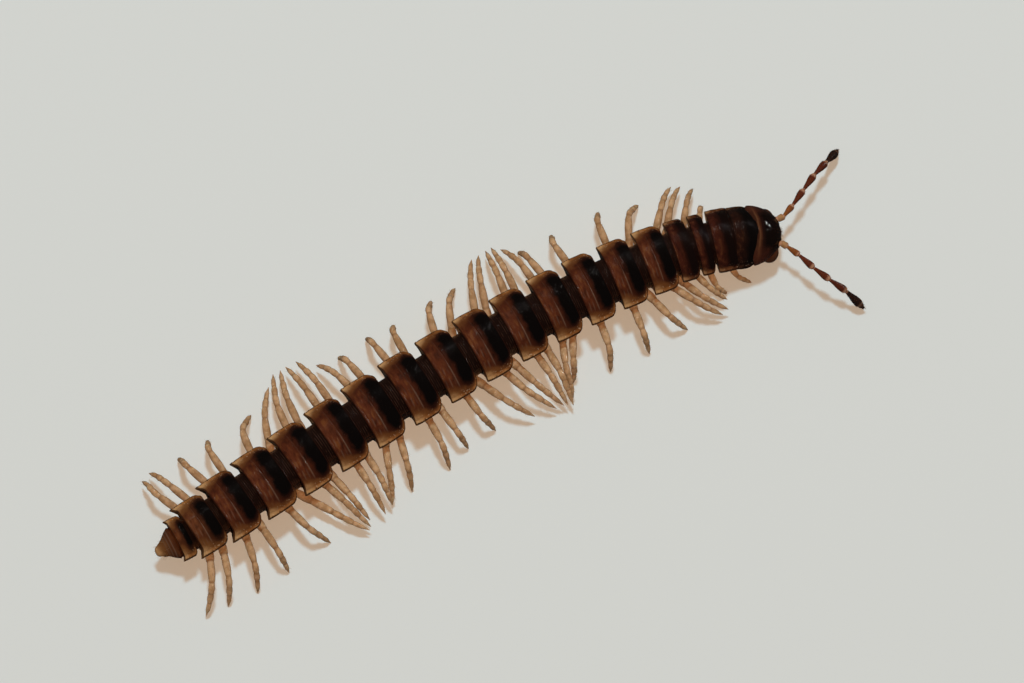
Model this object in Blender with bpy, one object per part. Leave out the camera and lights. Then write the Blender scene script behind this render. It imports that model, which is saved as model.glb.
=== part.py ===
"""Flat-backed millipede, adult male, walking: a still model at life size.

The body is a chain of rings along a gently curved midline. Ring 1 is the collum
behind the head, rings 2 to 18 carry the legs, ring 19 has none, and the telson
closes the tail. Each ring is one closed solid with its legs fused on.

Lengths are in millimetres here, and a mesh is turned into metres where it is made.
+X points to the head, +Y to the animal's left side, +Z up, with the floor at z = 0.
"""

import math
from types import SimpleNamespace

import bmesh
import bpy
import numpy as np

MM = 0.001

# Midline: where it starts at the tail, and its heading in degrees against the length from there
TAIL_START = (-12.043, -1.081)
BEND = ((0, 2.0), (0.8, 2.6), (1.8, 9.4), (3.5, 9.7), (8.5, 8.1), (12.5, 4.7), (16.0, 0.1),
        (18.0, -4.4), (20.0, -13.8), (22.5, -22.5))
MIDLINE_STEP = 0.02

# Rings: front edge of the collum along the midline, and from each ring's front edge to the one before it
COLLUM_FRONT = 20.71
PITCH = ((2, 0.87), (3, 0.66), (4, 0.53), (5, 0.72), (6, 1.05), (8, 1.14), (10, 1.24), (14, 1.31),
         (17, 1.27), (18, 1.14), (19, 0.94), (20, 0.48))
LAST_LEGGED_RING = 18
AMBER_RINGS = (18, 19)
TELSON = 20
# Neck of each ring that shows behind the ring before it
NECK_SHOWN = ((2, 0.12), (4, 0.12), (5, 0.15), (6, 0.24), (9, 0.30), (15, 0.32), (17, 0.28), (18, 0.20),
              (19, 0.10), (20, 0.08))
# Half width over the side wings, height of their edge, and the reach of their rear corners
WING_HALF_WIDTH = ((1, 0.98), (2, 0.99), (3, 0.96), (4, 0.98), (5, 1.04), (7, 1.09), (12, 1.11), (15, 1.08),
                   (17, 1.03), (18, 0.90), (19, 0.69), (20, 0.52))
WING_EDGE_HEIGHT = ((1, 1.10), (2, 1.22), (4, 1.36), (17, 1.36), (18, 1.28), (19, 1.14), (20, 1.02))
WING_REACH = ((2, 0.0), (5, 0.03), (11, 0.05), (13, 0.07), (15, 0.13), (17, 0.22), (18, 0.20), (19, 0.10))
WING_THICKNESS = 0.11
WING_RIM_ROUNDING = 0.025
WING_ROOT_SHARE = 0.3
WING_ROOT_DROP = 0.17
WING_CURVE = 2.2
PLATE_RISE = 0.05
# Heights and half width of the round body
CROWN = ((1, 1.76), (2, 1.80), (4, 1.85), (6, 1.88), (16, 1.88), (17, 1.84), (18, 1.73), (19, 1.52),
         (20, 1.36))
BELLY = ((1, 0.62), (2, 0.50), (3, 0.45), (17, 0.45), (18, 0.47), (19, 0.54), (20, 0.60))
BODY_HALF_WIDTH = ((1, 0.64), (2, 0.68), (4, 0.70), (6, 0.74), (16, 0.74), (17, 0.72), (18, 0.66), (19, 0.56),
                   (20, 0.46))
NECK_STEP = 0.05
GAP = 0.06
# Share of a plate's length against the share of the wing that is out there
WING_OUTLINE = ((0.0, 0.02), (0.04, 0.57), (0.12, 0.88), (0.26, 1.0), (0.90, 1.0), (1.0, 0.96))
SECOND_OUTLINE = ((0.0, 0.45), (0.06, 0.84), (0.16, 0.98), (0.40, 1.0), (0.90, 1.0), (1.0, 0.96))
COLLUM_OUTLINE = ((0.0, 0.45), (0.12, 0.78), (0.35, 0.97), (0.60, 1.0), (0.86, 0.92), (1.0, 0.66))
# How far the ends of the collum and of the head's rear edge are swept back, in front and behind
COLLUM_BOW = 0.26
COLLUM_SWEEP = 0.12
# Points round one half of a section: shares of the half width on the back, angles below it
BACK_SHARES = (0.0, 0.40, 0.72, 0.92)
FLANK_ANGLES = (-14, -45, -72)
NECK_ANGLES = (90, 68, 48, 34, 24, 14, 4, -6, -22, -45, -72, -90)

# Legs: where they leave the belly, and their two long parts
ROOT_OUT = 0.20
ROOT_HEIGHT = 0.68
HIP_OUT = 0.37
HIP_HEIGHT = 0.50
HIP_SWING = 0.04
FOOT_OUT = 0.26
FRONT_HIP = -0.06
REAR_HIP = -0.46
ONLY_HIP = -0.20
THIGH = 1.48
SHIN = 1.24
KNEE_HEIGHT_LIMIT = 1.00
LEAST_ARCH = 0.10
MOST_ARCH = ((1, 0.25), (2, 0.45), (3, 0.75), (4, 1.2))
ANKLE_SHARE = 0.55
ANKLE_BULGE = 0.10
LEG_SIDES = 6
LEG_RADIUS = ((0.0, 0.13), (0.14, 0.125), (0.32, 0.130), (0.50, 0.112), (0.62, 0.096), (0.78, 0.092),
              (0.92, 0.065), (1.0, 0.024))
# Pairs 1 to 4 are smaller, and pairs 1 to 6 are held closer
LEG_SCALE = ((1, 0.62), (2, 0.75), (3, 0.86), (5, 1.0))
LEFT_REACH = ((1, 0.19), (2, 0.57), (3, 0.70), (4, 0.76), (5, 0.80), (6, 0.92), (7, 1.04), (8, 1.0),
              (16, 1.0), (17, 0.95), (18, 1.0), (20, 0.95), (21, 1.02), (24, 1.06), (25, 0.96), (26, 1.0),
              (28, 1.04), (29, 0.98), (30, 0.89))
RIGHT_REACH = ((1, 0.46), (2, 0.54), (3, 0.58), (4, 0.73), (5, 0.77), (6, 0.92), (7, 1.0), (8, 1.0),
               (9, 0.91), (10, 1.06), (12, 1.0), (14, 0.98), (15, 0.94), (17, 0.98), (18, 1.10), (20, 1.06),
               (21, 0.93), (22, 0.98), (23, 0.94), (24, 1.02), (25, 1.06), (28, 1.07), (29, 1.0), (30, 0.92))
FOOT_AHEAD = ((1, 0.18), (4, 0.20), (5, 0.18), (7, 0.02), (9, 0.08), (28, 0.08), (30, -0.06))

# The walking step, as a loop from 0 to 1. Up to 0.5 the foot is planted, from the rearmost
# place to the foremost. From 0.5 to 1 it is lifted, from the foremost back to the rearmost.
STRIDE = 1.30
FOOT_REACH = ((0.0, 2.00), (0.20, 2.04), (0.49, 1.96), (0.51, 2.40), (0.82, 2.46), (0.89, 2.20), (1.0, 2.08))
KNEE_BOW = ((0.0, -0.06), (0.15, 0.0), (0.25, 0.11), (0.49, 0.22), (0.55, 0.20), (0.70, 0.05), (0.80, -0.04),
            (0.88, 0.02), (1.0, -0.04))
LEFT_LEAN = ((3, 0.08), (5, 0.12), (6, -0.06), (7, -0.05), (8, -0.12), (9, -0.05), (10, 0.06), (11, 0.0),
             (13, 0.08), (14, 0.08), (15, 0.0), (17, -0.05), (19, 0.0), (20, 0.06), (21, -0.01), (24, -0.06),
             (25, 0.02), (26, -0.20), (27, -0.06), (28, -0.13), (29, -0.02), (30, -0.14))
RIGHT_LEAN = ((3, -0.08), (5, -0.04), (6, -0.08), (7, 0.04), (8, 0.09), (9, -0.02), (10, -0.08), (11, 0.0),
              (13, -0.02), (14, -0.06), (15, 0.0), (16, -0.05), (17, 0.02), (18, 0.06), (19, 0.0),
              (21, 0.0), (22, -0.05), (24, 0.03), (25, 0.16), (26, -0.08), (27, 0.05), (29, 0.10), (30, 0.18))
FOOT_HEIGHT = ((0.0, 0.0), (0.49, 0.0), (0.51, 0.40), (0.82, 0.48), (1.0, 0.15))
# Where each leg is in that loop, from pair 1 behind the collum to pair 30
LEFT_STEPS = (0.36, 0.32, 0.58, 0.525, 0.51, 0.44, 0.30, 0.21, 0.14, 0.87, 0.75, 0.71, 0.585, 0.555, 0.46,
              0.38, 0.29, 0.19, 0.17, 0.89, 0.80, 0.79, 0.65, 0.62, 0.51, 0.40, 0.275, 0.15, 0.895, 0.865)
RIGHT_STEPS = (0.39, 0.31, 0.62, 0.545, 0.52, 0.39, 0.22, 0.16, 0.06, 0.91, 0.795, 0.745, 0.615, 0.585, 0.56,
               0.29, 0.26, 0.18, 0.09, 0.975, 0.81, 0.795, 0.72, 0.66, 0.51, 0.35, 0.22, 0.08, 0.06, 0.99)

# Head, in front of the collum, with the middle and the radii of each part below its dome
HEAD_LENGTH = 0.71
HEAD_HALF_WIDTH = 0.93
HEAD_BOW_WIDTH = 0.98
HEAD_HALF_HEIGHT = 0.66
HEAD_HEIGHT = 1.06
HEAD_SQUARENESS = 1.7
HEAD_DOMING = 0.8
HEAD_STATIONS = (0.0, 0.22, 0.44, 0.64, 0.80, 0.91, 0.98)
HEAD_SIDES = 18
CHEEK_MIDDLE = (0.27, 0.50, 0.80)
CHEEK_RADII = (0.30, 0.34, 0.34)
LIP_MIDDLE = (0.43, 0.0, 0.62)
LIP_RADII = (0.23, 0.40, 0.30)
CHIN_MIDDLE = (0.28, 0.0, 0.48)
CHIN_RADII = (0.21, 0.30, 0.14)

# Feelers: seven joints, thin at the foot and thick at the end of each
FEELER_OUT = 0.38
FEELER_HEIGHT = 1.13
FEELER_START = 0.67
FEELER_LENGTHS = (0.19, 0.44, 0.59, 0.59, 0.63, 0.73, 0.17)
FEELER_RADII = ((0.100, 0.105), (0.060, 0.098), (0.055, 0.105), (0.056, 0.108), (0.058, 0.112),
                (0.065, 0.128), (0.095, 0.045))
LEFT_FEELER_TURN = (20, 44, 48, 48, 44, 47, 55)
RIGHT_FEELER_TURN = (-40, -44, -50, -44, -38, -42, -43)
FEELER_DIP = (0, 1, 1, 5, 22, 41, 40)
FEELER_NARROW_END = 0.08
FEELER_WIDE_END = 0.80
FEELER_SIDES = 6

# Telson: share of its length, share of its first width and drop of its middle, along the cone,
# and the pair of rounded valves below
TELSON_CONE = ((0.0, 1.0, 0.0), (0.22, 0.84, 0.01), (0.48, 0.56, 0.04), (0.70, 0.40, 0.08),
               (0.88, 0.31, 0.11), (1.0, 0.18, 0.13))
TELSON_SIDES = 16
TELSON_SPAN = 0.5
VALVE_MIDDLE = (-0.26, 0.11, 0.80)
VALVE_RADII = (0.22, 0.13, 0.24)

PLATE_BROWN = (0.060, 0.018, 0.008, 1.0)
WING_AMBER = (0.240, 0.085, 0.022, 1.0)
FEELER_MAROON = (0.090, 0.022, 0.012, 1.0)


def read(keys, at):
    """Value of a driving dimension between its keys."""
    places, values = zip(*keys)
    return float(np.interp(at, places, values))


def midline():
    """Stations along the midline with their points and headings, from the tail forward."""
    stations = np.arange(0.0, BEND[-1][0], MIDLINE_STEP)
    headings = np.radians([read(BEND, station) for station in stations])
    steps = np.stack([np.cos(headings), np.sin(headings)], axis=1) * MIDLINE_STEP
    points = np.array(TAIL_START) + np.vstack([np.zeros(2), np.cumsum(steps, axis=0)[:-1]])
    return stations, points, headings


def place_on_midline(station, span):
    """Point at a station, with the heading in the middle of the span behind it."""
    stations, points, headings = MIDLINE
    x = float(np.interp(station, stations, points[:, 0]))
    y = float(np.interp(station, stations, points[:, 1]))
    return (x, y), float(np.interp(station - span / 2, stations, headings))


def front_station(number):
    """Station of a ring's front edge."""
    return COLLUM_FRONT - sum(read(PITCH, ring) for ring in range(2, number + 1))


def ring_size(number):
    """All sizes of one ring."""
    shown_behind = read(NECK_SHOWN, number + 1)
    return SimpleNamespace(
        number=number,
        length=read(PITCH, number + 1) - shown_behind,
        neck=read(NECK_SHOWN, number),
        wing=read(WING_HALF_WIDTH, number),
        edge=read(WING_EDGE_HEIGHT, number),
        reach=read(WING_REACH, number),
        crown=read(CROWN, number),
        belly=read(BELLY, number),
        body=read(BODY_HALF_WIDTH, number),
    )


def closed_loop(x, half):
    """Section across the body from the points of its left half, top to bottom."""
    left = [(x + shift, y, z) for shift, y, z in half]
    right = [(x + shift, -y, z) for shift, y, z in reversed(half[1:-1])]
    return left + right


def flank(size, angles, half_width, lift=0.0):
    """Points of the round body at the given angles, as shift, y and z."""
    centre = (size.crown + size.belly) / 2
    half_height = (size.crown - size.belly) / 2 - lift
    points = []
    for angle in np.radians(angles):
        points.append((0.0, half_width * math.cos(angle), centre + half_height * math.sin(angle)))
    return points


def swept_back(share, out):
    """How far a point of the collum lies behind the flat section at its share of the length."""
    return COLLUM_BOW * (1 - share) * out ** 2 + COLLUM_SWEEP * share * out ** 4


def plate_section(size, share, spread):
    """Section at a share of a plate's length, its wings spread from 0 at the body to 1 in full."""
    half = size.body + (size.wing - size.body) * spread
    crown = size.crown - PLATE_RISE * (1 - share)
    corner = size.reach * share ** 6

    def back_height(y):
        return crown - (size.crown - size.edge) * (abs(y) / size.wing) ** WING_CURVE

    def corner_shift(y):
        return -corner * max(0.0, (y - size.body) / (size.wing - size.body)) ** 2

    points = [(corner_shift(share * half), share * half, back_height(share * half)) for share in BACK_SHARES]
    tip = back_height(half)
    points.append((corner_shift(half), half - WING_RIM_ROUNDING, tip))
    points.append((corner_shift(half), half, tip - WING_THICKNESS / 2))
    points.append((corner_shift(half), half - WING_RIM_ROUNDING, tip - WING_THICKNESS))
    root = size.body + (half - size.body) * WING_ROOT_SHARE
    points.append((corner_shift(root), root, size.edge - WING_ROOT_DROP))
    points += flank(size, FLANK_ANGLES, size.body)
    points.append((0.0, 0.0, size.belly))
    if size.number == 1:
        points = [(shift - swept_back(share, y / size.wing), y, z) for shift, y, z in points]
    return closed_loop(-share * size.length, points)


def neck_section(size, x):
    """Section through the round neck in front of a plate."""
    return closed_loop(x, flank(size, NECK_ANGLES, size.body - NECK_STEP, NECK_STEP))


def loft(sections):
    """Closed mesh through sections of equal count, its ends closed by fans."""
    shape = bmesh.new()
    loops = [[shape.verts.new(point) for point in section] for section in sections]
    count = len(sections[0])
    for near, far in zip(loops, loops[1:]):
        for i in range(count):
            j = (i + 1) % count
            shape.faces.new((near[i], near[j], far[j], far[i]))
    for section, loop in ((sections[0], loops[0]), (sections[-1], loops[-1])):
        middle = shape.verts.new(np.mean(np.array(section), axis=0))
        for i in range(count):
            shape.faces.new((loop[i], loop[(i + 1) % count], middle))
    bmesh.ops.recalc_face_normals(shape, faces=shape.faces)
    return shape


def smooth_path(corners, shares):
    """Points at shares of the length of a smooth curve through the corners."""
    corners = np.array(corners, dtype=float)
    padded = np.vstack([2 * corners[0] - corners[1], corners, 2 * corners[-1] - corners[-2]])
    fine = []
    for a, b, c, d in zip(padded, padded[1:], padded[2:], padded[3:]):
        for t in np.linspace(0.0, 1.0, 12, endpoint=False):
            fine.append(0.5 * (2 * b + (c - a) * t + (2 * a - 5 * b + 4 * c - d) * t * t
                               + (3 * b - a - 3 * c + d) * t ** 3))
    fine.append(corners[-1])
    fine = np.array(fine)
    run = np.concatenate([[0.0], np.cumsum(np.linalg.norm(np.diff(fine, axis=0), axis=1))])
    return np.stack([np.interp(np.array(shares) * run[-1], run, fine[:, axis]) for axis in range(3)], axis=1)


def tube(path, radii, sides, floor=None):
    """Closed tube along a path, kept above the floor where one is given."""
    tangents = np.gradient(path, axis=0)
    sections = []
    for point, tangent, radius in zip(path, tangents, radii):
        tangent = tangent / np.linalg.norm(tangent)
        across = np.cross(tangent, (0.0, 0.0, 1.0))
        across /= np.linalg.norm(across)
        above = np.cross(across, tangent)
        section = []
        for k in range(sides):
            angle = 2 * math.pi * (k + 0.5) / sides
            place = point + radius * (math.cos(angle) * across + math.sin(angle) * above)
            if floor is not None:
                place[2] = max(place[2], floor)
            section.append(tuple(place))
        sections.append(section)
    return loft(sections)


def ball(centre, radii, sides=12, bands=7):
    """Closed ellipsoid, its poles along Y."""
    sections = []
    for band in range(1, bands):
        turn = math.pi * band / bands
        ring = []
        for k in range(sides):
            angle = 2 * math.pi * k / sides
            ring.append((centre[0] + radii[0] * math.sin(turn) * math.cos(angle),
                         centre[1] + radii[1] * math.cos(turn),
                         centre[2] + radii[2] * math.sin(turn) * math.sin(angle)))
        sections.append(ring)
    return loft(sections)


def legs_of_ring(number):
    """Pair numbers of a ring with the place of each pair's hips behind the front edge."""
    if number <= 4:
        return [(number - 1, ONLY_HIP)]
    first = 4 + 2 * (number - 5) - (number > 7)
    if number == 7:
        return [(first, REAR_HIP)]
    return [(first, FRONT_HIP), (first + 1, REAR_HIP)]


def leg_corners(pair, side, hip_x):
    """Root, hip, knee, ankle and claw of one leg, in its ring's frame."""
    step = (LEFT_STEPS if side > 0 else RIGHT_STEPS)[pair - 1]
    reach = read(FOOT_REACH, step) * read(LEFT_REACH if side > 0 else RIGHT_REACH, pair)
    scale = read(LEG_SCALE, pair)
    forward = STRIDE * (4 * step - 1 if step < 0.5 else 3 - 4 * step) * scale
    root = np.array((hip_x, side * ROOT_OUT, ROOT_HEIGHT))
    hip = np.array((hip_x + HIP_SWING * forward, side * HIP_OUT, HIP_HEIGHT))
    claw_x = hip_x + forward + read(FOOT_AHEAD, pair)
    claw = np.array((claw_x, side * (FOOT_OUT + reach), read(FOOT_HEIGHT, step)))
    straight = claw - hip
    distance = np.linalg.norm(straight)
    thigh = THIGH * scale
    shin = SHIN * scale
    along = (thigh ** 2 - shin ** 2 + distance ** 2) / (2 * distance)
    arch = min(math.sqrt(max(thigh ** 2 - along ** 2, LEAST_ARCH ** 2)), read(MOST_ARCH, pair))
    direction = straight / distance
    upward = np.array((0.0, 0.0, 1.0)) - direction * direction[2]
    upward /= np.linalg.norm(upward)
    knee = hip + direction * along + upward * arch
    knee[2] = min(knee[2], KNEE_HEIGHT_LIMIT)
    knee[0] += read(LEFT_LEAN if side > 0 else RIGHT_LEAN, pair) - read(KNEE_BOW, step)
    ankle = knee + (claw - knee) * ANKLE_SHARE
    ankle += np.array((0.0, side, 1.0)) * ANKLE_BULGE * scale / math.sqrt(2)
    return [root, hip, knee, ankle, claw]


def leg(pair, side, hip_x):
    """One leg as a closed tube that thins at each joint."""
    shares = [share for share, radius in LEG_RADIUS]
    radii = [radius * read(LEG_SCALE, pair) ** 0.5 for share, radius in LEG_RADIUS]
    path = smooth_path(leg_corners(pair, side, hip_x), shares)
    return tube(path, radii, LEG_SIDES, floor=0.0)


def ring_body(number):
    """Neck and plate of one ring as one loft."""
    size = ring_size(number)
    sections = []
    if number > 1:
        sections.append(neck_section(size, size.neck - GAP))
        sections.append(neck_section(size, 0.0))
    outline = {1: COLLUM_OUTLINE, 2: SECOND_OUTLINE}.get(number, WING_OUTLINE)
    for share, spread in outline:
        sections.append(plate_section(size, share, spread))
    return loft(sections)


def telson_body():
    """Cone of the telson over the two rounded valves below it."""
    size = ring_size(TELSON)
    length = front_station(TELSON) - GAP
    centre = (size.crown + size.belly) / 2
    sections = []
    for share, scale, drop in TELSON_CONE:
        section = []
        for k in range(TELSON_SIDES):
            angle = 2 * math.pi * k / TELSON_SIDES
            section.append((-share * length, size.wing * scale * math.sin(angle),
                            centre - drop + (size.crown - centre) * scale * math.cos(angle)))
        sections.append(section)
    x, y, z = VALVE_MIDDLE
    return [loft(sections), ball((x, y, z), VALVE_RADII), ball((x, -y, z), VALVE_RADII)]


def head_body():
    """Domed head with its cheeks, lip and the plate below the mouth."""
    sections = []
    for share in HEAD_STATIONS:
        scale = (1 - share ** HEAD_SQUARENESS) ** (1 / HEAD_SQUARENESS)
        section = []
        for k in range(HEAD_SIDES):
            angle = 2 * math.pi * k / HEAD_SIDES
            y = HEAD_HALF_WIDTH * scale * math.cos(angle)
            z = HEAD_HEIGHT + HEAD_HALF_HEIGHT * scale ** HEAD_DOMING * math.sin(angle)
            bow = COLLUM_BOW * (1 - share) * (y / HEAD_BOW_WIDTH) ** 2
            section.append((GAP + share * (HEAD_LENGTH - GAP) - bow, y, z))
        sections.append(section)
    x, y, z = CHEEK_MIDDLE
    return [loft(sections), ball((x, y, z), CHEEK_RADII), ball((x, -y, z), CHEEK_RADII),
            ball(LIP_MIDDLE, LIP_RADII), ball(CHIN_MIDDLE, CHIN_RADII)]


def feeler(side):
    """One feeler as a tube that swells at the end of each of its joints."""
    turns = LEFT_FEELER_TURN if side > 0 else RIGHT_FEELER_TURN
    point = np.array((FEELER_START, side * FEELER_OUT, FEELER_HEIGHT))
    path = []
    radii = []
    for length, (near, far), turn, dip in zip(FEELER_LENGTHS, FEELER_RADII, turns, FEELER_DIP):
        azimuth = math.radians(turn)
        fall = math.radians(dip)
        level = math.cos(fall)
        way = np.array((math.cos(azimuth) * level, math.sin(azimuth) * level, -math.sin(fall)))
        path.append(point + way * length * FEELER_NARROW_END)
        path.append(point + way * length * FEELER_WIDE_END)
        radii += [near, far]
        point = point + way * length
    path.append(point)
    radii.append(FEELER_RADII[-1][1])
    return tube(np.array(path), radii, FEELER_SIDES)


def keep_largest(shape):
    """Leave only the closed surface with the most area."""
    groups = []
    left = set(shape.faces)
    while left:
        stack = [left.pop()]
        group = set(stack)
        while stack:
            for edge in stack.pop().edges:
                for face in edge.link_faces:
                    if face in left:
                        left.remove(face)
                        group.add(face)
                        stack.append(face)
        groups.append(group)
    if len(groups) > 1:
        largest = max(groups, key=lambda faces: sum(face.calc_area() for face in faces))
        scraps = [face for group in groups if group is not largest for face in group]
        bmesh.ops.delete(shape, geom=scraps, context="FACES")


def plain_object(name, shape):
    """Object in metres from a shape in millimetres."""
    bmesh.ops.scale(shape, vec=(MM, MM, MM), verts=shape.verts)
    mesh = bpy.data.meshes.new(name)
    shape.to_mesh(mesh)
    shape.free()
    thing = bpy.data.objects.new(name, mesh)
    bpy.context.scene.collection.objects.link(thing)
    return thing


def fuse(name, shapes):
    """One closed, smooth object from several shapes, by one Boolean union."""
    thing = plain_object(name, shapes[0])
    if len(shapes) > 1:
        extras = bpy.data.collections.new(name + "_extras")
        bpy.context.scene.collection.children.link(extras)
        for index, shape in enumerate(shapes[1:]):
            extra = plain_object(f"{name}_extra_{index}", shape)
            extras.objects.link(extra)
            bpy.context.scene.collection.objects.unlink(extra)
        union = thing.modifiers.new("union", "BOOLEAN")
        union.operation = "UNION"
        union.operand_type = "COLLECTION"
        union.collection = extras
        union.solver = "EXACT"
        ready = bpy.context.evaluated_depsgraph_get()
        fused = bpy.data.meshes.new_from_object(thing.evaluated_get(ready))
        thing.modifiers.clear()
        thing.data = fused
        for extra in list(extras.objects):
            bpy.data.objects.remove(extra)
        bpy.data.collections.remove(extras)
    shape = bmesh.new()
    shape.from_mesh(thing.data)
    keep_largest(shape)
    shape.to_mesh(thing.data)
    shape.free()
    thing.data.name = name
    thing.data.shade_smooth()
    thing.data.set_sharp_from_angle(angle=math.radians(50))
    return thing


def finish_node(thing, station, span, colour, roughness):
    """Set a node on the midline and give it its own material."""
    (x, y), heading = place_on_midline(station, span)
    thing.location = (x * MM, y * MM, 0.0)
    thing.rotation_euler = (0.0, 0.0, heading)
    material = bpy.data.materials.new(thing.name)
    material.use_nodes = True
    shader = material.node_tree.nodes["Principled BSDF"]
    shader.inputs["Base Color"].default_value = colour
    shader.inputs["Roughness"].default_value = roughness
    shader.inputs["Metallic"].default_value = 0.0
    thing.data.materials.clear()
    thing.data.materials.append(material)


def build_rings():
    """Collum and rings 2 to 19, with the legs of each."""
    for number in range(1, TELSON):
        name = "collum" if number == 1 else f"ring_{number:02d}"
        shapes = [ring_body(number)]
        if 1 < number <= LAST_LEGGED_RING:
            for pair, hip_x in legs_of_ring(number):
                for side in (1, -1):
                    shapes.append(leg(pair, side, hip_x))
        thing = fuse(name, shapes)
        colour = WING_AMBER if number in AMBER_RINGS else PLATE_BROWN
        finish_node(thing, front_station(number), ring_size(number).length, colour, 0.25)


def build_ends():
    """Head with its feelers, and the telson."""
    finish_node(fuse("head", head_body()), COLLUM_FRONT, -HEAD_LENGTH, PLATE_BROWN, 0.2)
    for name, side in (("antenna_left", 1), ("antenna_right", -1)):
        finish_node(fuse(name, [feeler(side)]), COLLUM_FRONT, -HEAD_LENGTH, FEELER_MAROON, 0.35)
    finish_node(fuse("telson", telson_body()), front_station(TELSON), TELSON_SPAN, WING_AMBER, 0.25)


for old in list(bpy.data.objects):
    bpy.data.objects.remove(old)

MIDLINE = midline()
build_rings()
build_ends()
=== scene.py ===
import math

import bpy
import numpy as np
from mathutils import Matrix


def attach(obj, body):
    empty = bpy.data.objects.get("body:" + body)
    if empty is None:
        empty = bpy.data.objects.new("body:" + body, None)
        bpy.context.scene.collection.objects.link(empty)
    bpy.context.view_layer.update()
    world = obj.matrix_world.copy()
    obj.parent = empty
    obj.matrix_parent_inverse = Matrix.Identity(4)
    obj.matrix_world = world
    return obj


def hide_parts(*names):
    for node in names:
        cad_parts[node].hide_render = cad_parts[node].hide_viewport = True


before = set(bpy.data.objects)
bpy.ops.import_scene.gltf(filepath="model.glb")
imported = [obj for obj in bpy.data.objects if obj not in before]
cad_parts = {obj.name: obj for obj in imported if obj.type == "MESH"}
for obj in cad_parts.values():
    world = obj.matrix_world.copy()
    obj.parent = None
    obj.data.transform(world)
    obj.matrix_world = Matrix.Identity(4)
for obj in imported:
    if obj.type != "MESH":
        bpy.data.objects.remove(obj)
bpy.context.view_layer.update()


# The shells of the body rings
# Each ring is a hard glossy tube of chalky cuticle: a round neck at the front, which slides into the ring before it,
# and behind it a plate drawn out into two side wings. It is near black in front, chestnut behind and amber in the
# wings. The collum behind the head is a plate without a neck.
MM = 0.001
TAIL_START = (-12.043, -1.081)
BEND = ((0, 2.0), (0.8, 2.6), (1.8, 9.4), (3.5, 9.7), (8.5, 8.1), (12.5, 4.7), (16.0, 0.1), (18.0, -4.4),
        (20.0, -13.8), (22.5, -22.5))
MIDLINE_STEP = 0.02
COLLUM_FRONT = 20.71
PITCH = ((2, 0.87), (3, 0.66), (4, 0.53), (5, 0.72), (6, 1.05), (8, 1.14), (10, 1.24), (14, 1.31), (17, 1.27),
         (18, 1.14), (19, 0.94), (20, 0.48))
NECK_SHOWN = ((2, 0.12), (4, 0.12), (5, 0.15), (6, 0.24), (9, 0.30), (15, 0.32), (17, 0.28), (18, 0.20),
              (19, 0.10), (20, 0.08))
WING_HALF_WIDTH = ((1, 0.98), (2, 0.99), (3, 0.96), (4, 0.98), (5, 1.04), (7, 1.09), (12, 1.11), (15, 1.08),
                   (17, 1.03), (18, 0.90), (19, 0.69), (20, 0.52))
WING_EDGE_HEIGHT = ((1, 1.10), (2, 1.22), (4, 1.36), (17, 1.36), (18, 1.28), (19, 1.14), (20, 1.02))
WING_REACH = ((2, 0.0), (5, 0.03), (11, 0.05), (13, 0.07), (15, 0.13), (17, 0.22), (18, 0.20), (19, 0.10))
WING_THICKNESS = 0.11
WING_ROOT_DROP = 0.17
WING_CURVE = 2.2
PLATE_RISE = 0.05
CROWN = ((1, 1.76), (2, 1.80), (4, 1.85), (6, 1.88), (16, 1.88), (17, 1.84), (18, 1.73), (19, 1.52), (20, 1.36))
BELLY = ((1, 0.62), (2, 0.50), (3, 0.45), (17, 0.45), (18, 0.47), (19, 0.54), (20, 0.60))
BODY_HALF_WIDTH = ((1, 0.64), (2, 0.68), (4, 0.70), (6, 0.74), (16, 0.74), (17, 0.72), (18, 0.66), (19, 0.56),
                   (20, 0.46))
NECK_STEP = 0.05
NECK_TUCK = 0.10
SOCKET_DEPTH = 0.14
SOCKET_STEP = 0.03
LAST_RING = 19
LAST_DARK_RING = 4
AMBER_RINGS = (18, 19)
CORNER_SHARE = 0.30
REAR_SHARE = 0.93
WING_SWELL = 0.018
WING_ROUNDING = 0.035
WING_ROOT_SHARE = 0.3
FLANK_TOP = -14
REAR_ROUNDING = 0.06
COLLUM_OUTLINE = ((0, 0.45), (0.04, 0.62), (0.12, 0.80), (0.22, 0.91), (0.35, 0.98), (0.50, 1.0), (0.65, 1.0),
                  (0.80, 0.99), (0.90, 0.97), (0.96, 0.94), (1, 0.90))
SECOND_OUTLINE = ((0, 0.80), (0.02, 0.88), (0.05, 0.94), (0.09, 0.97), (0.14, 0.99), (0.20, 1.0))
SECOND_FORWARD = 0.08
COLLUM_BOW = 0.26
COLLUM_SWEEP = 0.12
PORE_RINGS = (5, 7, 9, 10, 12, 13, 15, 16, 17, 18, 19)
SULCUS_RINGS = range(5, 19)
SULCUS_SHARE = 0.56
SULCUS_DEPTH = 0.016
RIM_BEAD = 0.022
RIM_BEAD_SPACING = 0.085
RIM_DITCH = 0.012
FOLD = 0.010
PORE_SWELL = 0.020
PORE_DEPTH = 0.045
TUBERCLE_ROWS = (0.22, 0.68, 0.88)
TUBERCLE = 0.007
WAVE = 0.0020
NECK_RING = 0.004
NECK_RING_SPACING = 0.045
NECK_FOOT = ((0.022, 0.018), (0.008, 0.016))
LIP = ((0.02, 0.010), (0.07, 0.014), (0.30, 0.010), (0.65, 0.010), (0.93, 0.012), (1.0, 0.004))
INSIDE_ROWS = 6
BACK_COLUMNS = 44
TOP_COLUMNS = 48


def read(keys, at):
    """Value of a size between its keys, straight from one key to the next."""
    places, values = zip(*keys)
    return np.interp(at, places, values)


def midline():
    """Stations, points and headings: the heading is read from BEND, and the point is the running sum of
    unit steps in that heading."""
    stations = np.arange(0.0, BEND[-1][0], MIDLINE_STEP)
    headings = np.radians(read(BEND, stations))
    steps = np.stack([np.cos(headings), np.sin(headings)], axis=1) * MIDLINE_STEP
    return stations, np.array(TAIL_START) + np.cumsum(steps, axis=0) - steps[0], headings


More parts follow.
